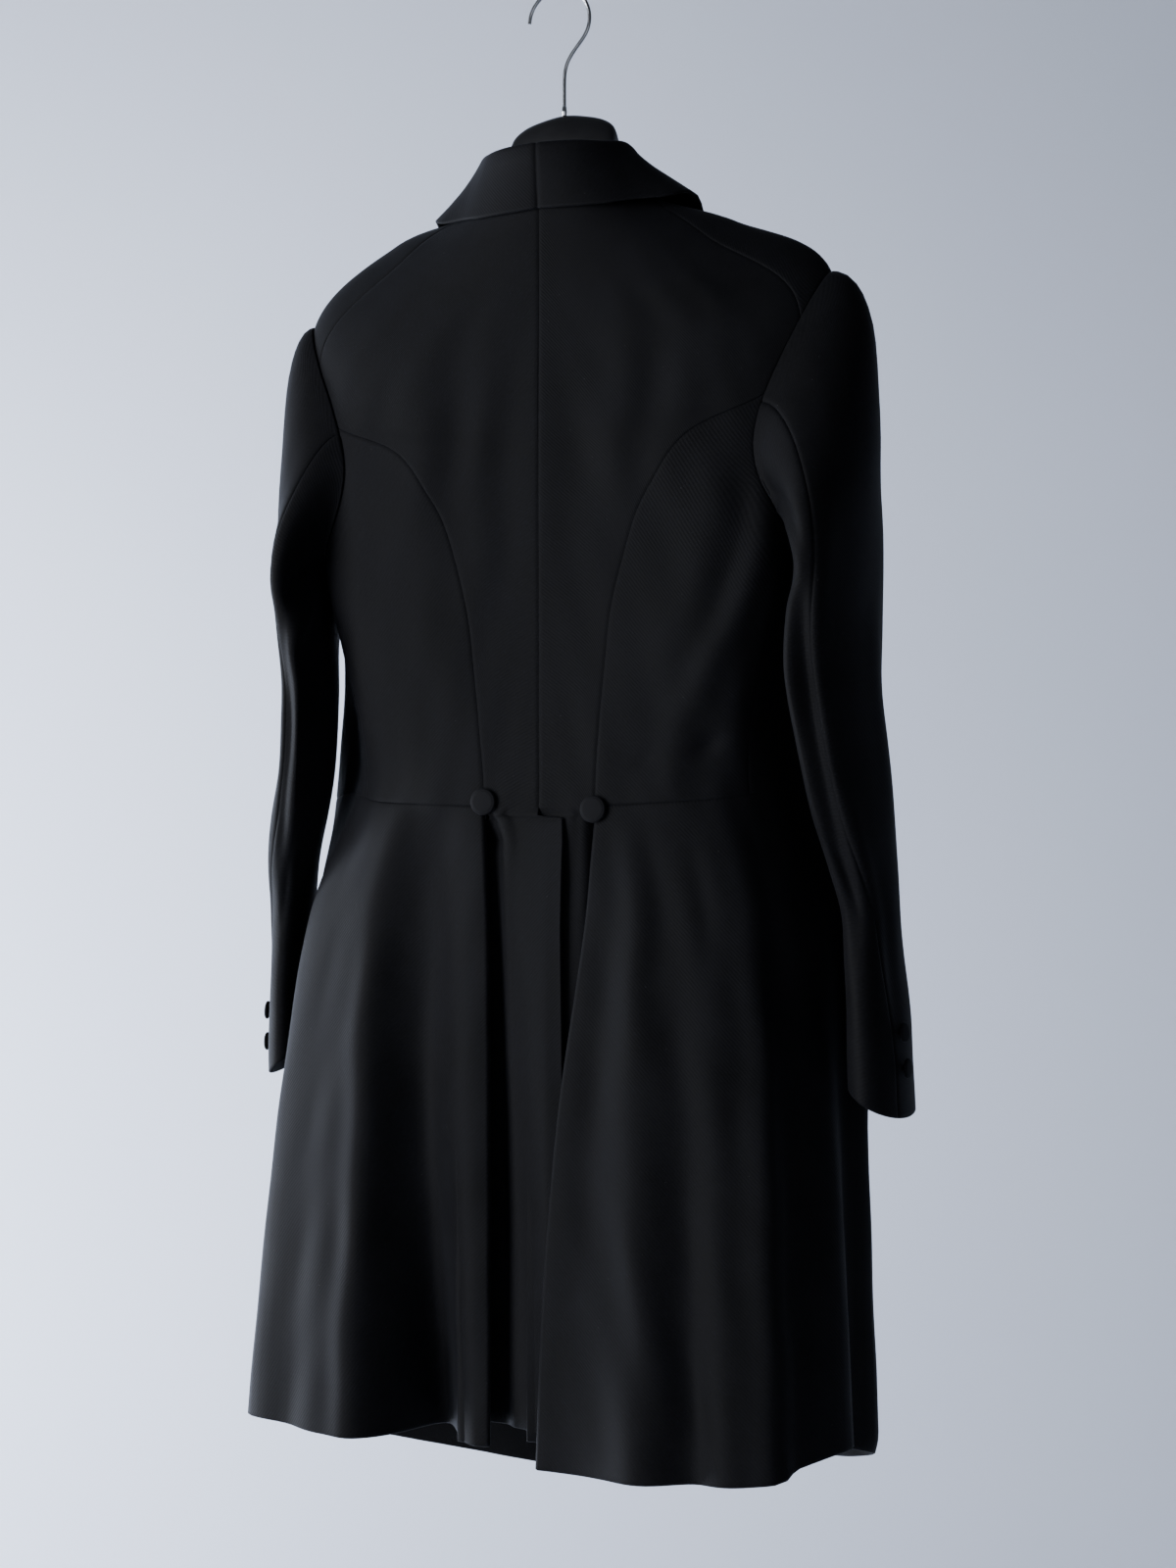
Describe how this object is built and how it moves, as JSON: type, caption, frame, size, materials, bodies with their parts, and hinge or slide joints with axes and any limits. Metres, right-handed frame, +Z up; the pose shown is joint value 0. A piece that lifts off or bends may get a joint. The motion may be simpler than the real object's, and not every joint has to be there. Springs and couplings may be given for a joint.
{
  "type": "white tie tailcoat on hanger",
  "caption": "Black wool full-dress body coat with waist seam, pleated skirt and curved side-back seams, hung open on a moulded suit hanger with a wire hook.",
  "frame": {"origin": "top of the hook's inside, where a rail carries it", "axes": "+Z up, the coat's front faces -Y and its back +Y, the wearer's left is +X"},
  "size_m": [0.532, 0.2425, 1.1369],
  "materials": {
    "wool": "matt worsted",
    "lining": "satin weave",
    "button_cloth": "covered in cloth",
    "hanger_plastic": "satin",
    "hook_steel": "polished"
  },
  "bodies": {
    "root": {"back_left": "wool", "side_back_left": "wool", "front_left": "wool", "skirt_left": "wool", "skirt_lining_left": "lining", "collar_left": "wool", "sleeve_top_left": "wool", "sleeve_under_left": "wool", "back_button_left": "button_cloth", "cuff_button_left_1": "button_cloth", "cuff_button_left_2": "button_cloth", "back_right": "wool", "side_back_right": "wool", "front_right": "wool", "skirt_right": "wool", "skirt_lining_right": "lining", "collar_right": "wool", "sleeve_top_right": "wool", "sleeve_under_right": "wool", "back_button_right": "button_cloth", "cuff_button_right_1": "button_cloth", "cuff_button_right_2": "button_cloth", "hanger": "hanger_plastic", "hook": "hook_steel", "hook_plug": "hook_steel"}
  },
  "joints": []
}
